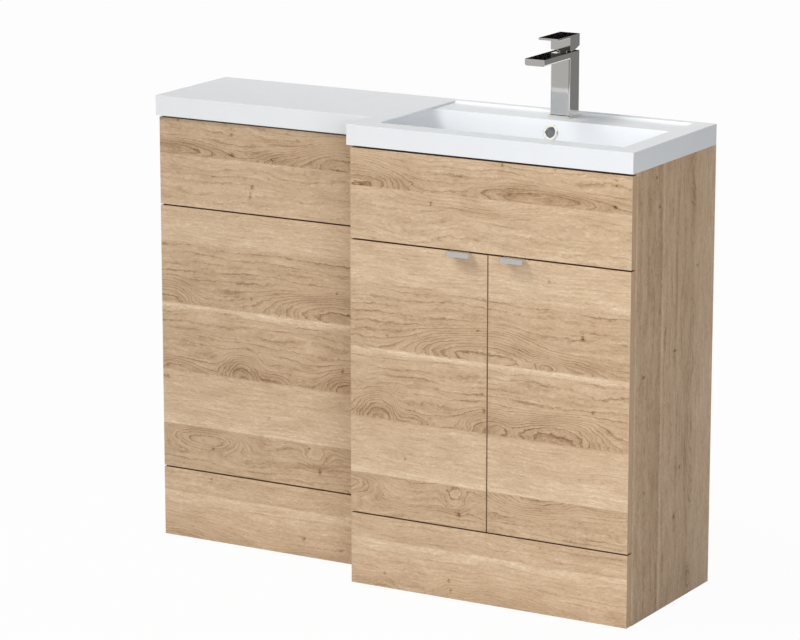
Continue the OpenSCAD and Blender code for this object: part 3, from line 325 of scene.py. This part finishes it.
# Both plinths
PLINTH = Board(
    [(0, 94, 0.21, 14, 0.8, [(330, -12, 125, 42, -6, 0), (218, 0, 30, 34, -1.5, 0),
                             (75, 0, 26, 26, -1.2, 0), (660, -12, 90, 26, -4, 0)]),
     (94, 141.5, 0.18, 11, 0.8, [])],
    [(0, 0.62), (30, 0.66), (70, 0.72), (86, 0.82), (93, 0.84), (95, 0.66), (120, 0.67),
     (141.5, 0.69)],
    [(415, 130, 2, 3), (75, 30, 3, 3), (218, 36, 3, 3), (222, 15, 3, 4), (632, 38, 5, 5)],
    [(540, 128, 60, 5, -0.10), (590, 132, 50, 4, -0.08)])

# The basin unit's sides: along Z, across Y
SIDE = Board(
    [(-351, -333, 0.19, 6, 0.3, []),
     (-333, -224, 0.19, 26, 0.5, [(680, -222, 42, 40, 2.4, 0), (385, -222, 24, 30, 2.4, 0),
                                  (255, -226, 110, 28, 6, 0)]),
     (-224, -84, 0.25, 26, 0.9, [(820, -84, 50, 36, 3, 0), (545, -84, 70, 38, 4, 0),
                                 (360, -84, 130, 44, 4, 0), (30, -100, 34, 24, 3, 0)]),
     (-84, 0, 0.09, 14, 0.5, [])],
    [(-351, 0.60), (-336, 0.60), (-333, 0.76), (-328, 0.60), (-280, 0.57), (-227, 0.54),
     (-223, 0.76), (-214, 0.63), (-160, 0.63), (-90, 0.60), (-84, 0.66), (-40, 0.72),
     (-10, 0.72), (0, 0.74)],
    [(842, -254, 3, 4), (785, -240, 3, 4), (644, -73, 3, 6), (472, -298, 3, 7), (496, -165, 3, 10),
     (263, -136, 3, 6), (248, -288, 3, 3), (91, -14, 3, 4), (51, -256, 3, 3), (170, -160, 5, 5)],
    [(600, -160, 120, 6, -0.12), (200, -155, 120, 5, -0.10), (780, -98, 60, 10, -0.12),
     (280, -110, 90, 8, -0.10)])

# The WC unit's fronts use the same boards further along. The shade factors are painted
# shade that darkens the set-back WC fronts, and painted light that lightens both plinths
oak_doors = oak("oak_doors", DOORS, 0, 2, seed=1.0, ends=0)
oak_pan = oak("oak_pan_panel", DOORS, 0, 2, (370, -10), 1.0, ends=0, shade=0.975)
oak_fascia = oak("oak_fascia", FASCIA, 0, 2, seed=2.0, ends=0)
oak_access = oak("oak_access_panel", FASCIA, 0, 2, (895, 0), 2.0, ends=0, shade=0.965)
oak_plinth = oak("oak_plinth", PLINTH, 0, 2, seed=3.0, ends=0, shade=1.012)
oak_wc_plinth = oak("oak_wc_plinth", PLINTH, 0, 2, (800, 0), 3.0, ends=0, shade=1.015)
oak_side = oak("oak_side", SIDE, 2, 1, seed=4.0)
oak_far_side = oak("oak_far_side", SIDE, 2, 1, (-120, 0), 5.0)

clothe(oak_doors, "left_door", "right_door")
clothe(oak_pan, "wc_unit_pan_panel")
clothe(oak_fascia, "basin_unit_fascia")
clothe(oak_access, "wc_unit_access_panel")
clothe(oak_plinth, "basin_unit_plinth")
clothe(oak_wc_plinth, "wc_unit_plinth")
clothe(oak_side, "basin_unit_right_side")
clothe(oak_far_side, "basin_unit_left_side", "wc_unit_left_side")


# ---------------------------------------------------------------- other materials

# The bowl's plan, each way as its middle and half its width. Inside it the colour is
# darkened as painted shade, which lessens from one height on, over a rise that ends at the rim.
BOWL_X, BOWL_Y = (300, 262), (-190, 105)
BOWL_SHADE_LOW, BOWL_SHADE_RISE = 800, 100


def cast_white():
    """Glossy cast mineral resin, very slightly uneven, with painted shade that darkens the bowl towards
    its floor.
    """
    mat, t = material("white_cast")
    p = place(t)
    cloud = t.noise(t.vector("MULTIPLY", p, (0.012,) * 3), 1.0, 3)
    ripple = t.noise(t.vector("MULTIPLY", p, (0.05,) * 3), 1.0, 2)
    colour = t.mix(cloud, linear((229, 233, 238)), linear((234, 238, 242)))
    x, y, z = t.split(p)
    bowl_shade_area = t.math("MULTIPLY", t.math("COMPARE", x, *BOWL_X), t.math("COMPARE", y, *BOWL_Y))
    level = t.math("MULTIPLY_ADD", z, 1 / BOWL_SHADE_RISE, -BOWL_SHADE_LOW / BOWL_SHADE_RISE)
    # Painted shade: up to 4 percent darker towards the bowl's floor
    depth = t.ramp(level, [(0.0, 0.96), (0.85, 0.975), (0.99, 1.0)])
    colour = t.mix(bowl_shade_area, colour, t.mix(1.0, colour, depth, "MULTIPLY"))
    rough = t.math("MULTIPLY_ADD", ripple, 0.06, 0.16)
    t.shade(colour, rough, t.bump(ripple, 0.0004, 0.12), Specular_IOR_Level=0.2)
    return mat


def metal(name, colour, low, high, scratch=0.0, stretch=(1, 1, 1)):
    """Plated or brushed metal: its roughness varies in smears, and in lines if brushed.

    low and high are the roughness, scratch is the lines' share of it, stretch their pitch.
    """
    mat, t = material(name)
    p = place(t)
    smear = t.noise(t.vector("MULTIPLY", p, (0.09,) * 3), 1.0, 3)
    lines = t.noise(t.vector("MULTIPLY", p, stretch), 1.0, 2)
    both = t.math("ADD", t.math("MULTIPLY", smear, 1 - scratch), t.math("MULTIPLY", lines, scratch))
    rough = t.math("MULTIPLY_ADD", both, high - low, low)
    paler = tuple(min(255, v + 6) for v in colour)
    tint = t.mix(smear, linear(colour), linear(paler))
    t.shade(tint, rough, t.bump(lines, 0.00004, 0.06 if scratch == 0 else 0.2), Metallic=1.0)
    return mat


def board_core():
    """Melamine-faced chipboard in a pale oak tone; its cut edges are the same foil."""
    mat, t = material("carcass_board")
    p = place(t)
    streak = t.noise(t.vector("MULTIPLY", p, (0.35, 0.35, 0.012)), 1.0, 4, 0.6)
    fleck = t.noise(t.vector("MULTIPLY", p, (1.2, 1.2, 0.08)), 1.0, 2)
    streak = t.math("MULTIPLY_ADD", t.math("SUBTRACT", streak, 0.5), 0.55, 0.62)
    value = t.math("ADD", streak, t.math("MULTIPLY", t.math("SUBTRACT", fleck, 0.5), 0.2))
    rough = t.math("MULTIPLY_ADD", value, -0.1, 0.62)
    t.shade(t.ramp(value, OAK), rough, t.bump(value, 0.0001, 0.4), Specular_IOR_Level=0.3)
    return mat


def plain(name, colour, other, scale, low, high, **constants):
    """Moulded plastic, rubber or bare wood: two tones of a fine grain."""
    mat, t = material(name)
    grain = t.noise(t.vector("MULTIPLY", place(t), scale), 1.0, 3)
    rough = t.math("MULTIPLY_ADD", grain, high - low, low)
    t.shade(t.mix(grain, linear(colour), linear(other)), rough, t.bump(grain, 0.0001, 0.3), **constants)
    return mat


white = cast_white()
chrome = metal("chrome", (242, 239, 234), 0.03, 0.07)
steel = metal("plated_steel", (188, 190, 194), 0.22, 0.4, 0.4, (2.5, 2.5, 0.3))
satin = metal("satin_nickel", (222, 222, 220), 0.3, 0.42, 0.6, (0.05, 3, 3))
core = board_core()
plastic = plain("moulded_plastic", (205, 206, 203), (222, 223, 220), (1.5,) * 3, 0.35, 0.5)
rubber = plain("black_rubber", (26, 26, 27), (38, 38, 39), (2.5,) * 3, 0.6, 0.8)
beech = plain("beech_dowel", (196, 158, 116), (217, 184, 145), (0.02, 1.2, 1.2), 0.5, 0.7)

FINISHES = {"white_basin": white, "chrome": chrome, "plated_steel": steel, "satin_nickel": satin,
            "carcass_board": core, "moulded_plastic": plastic, "black_rubber": rubber,
            "beech_dowel": beech}
for name, node in NODES.items():
    slot_name = node.data.materials[0].name.split(".")[0]
    if slot_name in FINISHES:
        clothe(FINISHES[slot_name], name)


# ---------------------------------------------------------------- eased edges

def ease(name, width, segments=2, angle=30):
    """Softens a node's edges that are sharper than an angle, in its look only."""
    node = NODES[name]
    weld = node.modifiers.new("weld", "WELD")
    weld.merge_threshold = 1e-5
    bevel = node.modifiers.new("bevel", "BEVEL")
    bevel.width = width
    bevel.segments = segments
    bevel.limit_method = "ANGLE"
    bevel.angle_limit = math.radians(angle)
    bevel.use_clamp_overlap = True
    shading = node.modifiers.new("shading", "WEIGHTED_NORMAL")
    shading.mode = "FACE_AREA"
    shading.keep_sharp = True


for name in ("left_door", "right_door", "basin_unit_fascia", "wc_unit_access_panel",
             "wc_unit_pan_panel", "basin_unit_plinth", "wc_unit_plinth", "basin_unit_right_side",
             "basin_unit_left_side", "wc_unit_left_side", "tap_base_plate"):
    ease(name, 0.0006)
ease("basin_top", 0.0022, segments=3)
ease("tap_body", 0.0012, segments=3, angle=50)
ease("tap_lever", 0.0010, segments=3, angle=50)
for name in ("left_handle", "right_handle"):
    ease(name, 0.0004)


# ---------------------------------------------------------------- floor, light and camera

# The dome's light: its slope towards each axis, its middle and its least strength
DOME_SLOPE, DOME_MIDDLE, DOME_LEAST = (-0.72, 0.0, 0.24), 0.37, 0.03
FLOOR_RADIUS, FLOOR_GREY, FLOOR_GLOW_SHARE = 60, 0.4, 0.97


def seen_directly(t):
    """1 for rays of the camera, of gloss and of transmission, and 0 for those that light."""
    path = t.node("ShaderNodeLightPath")
    seen = t.math("ADD", path.outputs["Is Camera Ray"], path.outputs["Is Glossy Ray"])
    return t.math("MINIMUM", t.math("ADD", seen, path.outputs["Is Transmission Ray"]), 1.0)


def studio():
    """A plain studio: what lights the object, what its gloss shows and what the camera sees."""
    world = bpy.data.worlds.new("studio")
    world.use_nodes = True
    bpy.context.scene.world = world
    t = Tree(world.node_tree)
    direction = t.node("ShaderNodeTexCoord").outputs["Generated"]
    # Soft dome: brighter from the left and from above
    slope = t.vector("DOT_PRODUCT", direction, DOME_SLOPE)
    dome = t.math("MAXIMUM", t.math("ADD", slope, DOME_MIDDLE), DOME_LEAST)
    colour = t.mix(seen_directly(t), dome, (1, 1, 1, 1))
    out = t.node("ShaderNodeOutputWorld")
    background = t.node("ShaderNodeBackground")
    t.put(background.inputs[0], colour)
    t.tree.links.new(background.outputs[0], out.inputs[0])


def floor():
    """A wide pale floor that the camera sees as white, with a faint shadow of the object."""
    bpy.ops.mesh.primitive_circle_add(vertices=64, radius=FLOOR_RADIUS, fill_type="NGON")
    ground = bpy.context.object
    ground.name = "floor"
    mat, t = material("pale_floor")
    matt = t.node("ShaderNodeBsdfDiffuse")
    matt.inputs["Color"].default_value = (FLOOR_GREY,) * 3 + (1,)
    glow = t.node("ShaderNodeEmission")
    glow.inputs["Strength"].default_value = 1.0
    both = t.node("ShaderNodeMixShader")
    t.put(both.inputs[0], t.math("MULTIPLY", seen_directly(t), FLOOR_GLOW_SHARE))
    t.tree.links.new(matt.outputs[0], both.inputs[1])
    t.tree.links.new(glow.outputs[0], both.inputs[2])
    out = t.node("ShaderNodeOutputMaterial")
    t.tree.links.new(both.outputs[0], out.inputs[0])
    ground.data.materials.append(mat)


def card(name, centre, width, height, turn, level):
    """An upright grey card in the studio, which only gloss shows, turned about Z in degrees."""
    x, y, z = centre
    dx = width / 2 * math.cos(math.radians(turn))
    dy = width / 2 * math.sin(math.radians(turn))
    corners = [(x - dx, y - dy, z - height / 2), (x + dx, y + dy, z - height / 2),
               (x + dx, y + dy, z + height / 2), (x - dx, y - dy, z + height / 2)]
    mesh = bpy.data.meshes.new(name)
    mesh.from_pydata(corners, [], [(0, 1, 2, 3)])
    made = bpy.data.objects.new(name, mesh)
    bpy.context.scene.collection.objects.link(made)
    mat, t = material(name)
    glow = t.node("ShaderNodeEmission")
    glow.inputs["Color"].default_value = (level, level, level, 1)
    out = t.node("ShaderNodeOutputMaterial")
    t.tree.links.new(glow.outputs[0], out.inputs[0])
    mesh.materials.append(mat)
    made.visible_camera = made.visible_diffuse = False
    made.visible_shadow = made.visible_transmission = False


# Solved from the photo's straight edges: metres, millimetres of lens, degrees
CAMERA_AT, CAMERA_LENS = (3.46311, -6.05174, 2.10879), 165.06
CAMERA_TILT, CAMERA_TURN = 76.97, 30.03


def camera():
    """The camera at the photo's viewing angle."""
    data = bpy.data.cameras.new("camera")
    data.lens = CAMERA_LENS
    data.sensor_width = 36
    data.clip_end = 200
    made = bpy.data.objects.new("camera", data)
    made.location = CAMERA_AT
    made.rotation_euler = (math.radians(CAMERA_TILT), 0, math.radians(CAMERA_TURN))
    bpy.context.scene.collection.objects.link(made)
    bpy.context.scene.camera = made


# The point that the disc lamp is aimed at
AIM = Vector((0, 0, 0.5))


def lamp(name, direction, strength, angle, colour=(1, 1, 1), distance=0.0):
    """A soft lamp that shines along direction: the sun's way, or a disc at a distance.

    angle is how wide it looks in degrees, strength is W/m2 for the sun and W for the disc.
    """
    way = Vector(direction).normalized()
    data = bpy.data.lights.new(name, "AREA" if distance else "SUN")
    data.energy = strength
    data.color = colour
    if distance:
        data.shape = "DISK"
        data.size = 2 * distance * math.tan(math.radians(angle / 2))
    else:
        data.angle = math.radians(angle)
    made = bpy.data.objects.new(name, data)
    made.location = AIM - distance * way
    made.rotation_euler = way.to_track_quat("-Z", "Y").to_euler()
    made.visible_camera = made.visible_glossy = False
    bpy.context.scene.collection.objects.link(made)


# Name, middle, width, height, turn and grey level. The two behind meet just under what the
# tap's level faces reflect to the camera, so those faces look dark and the basin top doesn't.
CARDS = [("card_behind", (-0.6, 2.4, 2.26), 7.0, 1.78, 0, 0.003),
         ("card_behind_low", (-0.6, 2.4, 1.16), 7.0, 0.42, 0, 0.62),
         ("card_behind_right", (1.9, 2.3, 0.5), 3.6, 1.0, 0, 0.2),
         ("card_front_left", (-1.6, -2.6, 0.45), 3.4, 0.9, 0, 0.44),
         ("card_right", (3.3, -0.3, 0.9), 3.4, 1.8, 90, 0.01),
         ("card_front_right", (1.295, -2.835, 0.7), 4.3, 1.4, 25.4, 0.01),
         ("card_high_front", (0.0, -3.4, 1.625), 7.4, 1.15, 0, 0.05),
         ("card_high_left", (-3.8, 0.0, 2.15), 6.4, 2.2, 90, 0.05),
         ("card_high_right", (3.8, 0.0, 2.15), 6.4, 2.2, 90, 0.05)]

studio()
floor()
for values in CARDS:
    card(*values)
lamp("key", (0.50, 0.34, -0.78), 2.03, 25, (1.0, 0.955, 0.89))
lamp("fill", (-0.69, 0.69, -0.23), 131, 36, distance=5.3)
camera()
bpy.context.scene.view_settings.view_transform = "Standard"

bpy.context.view_layer.update()
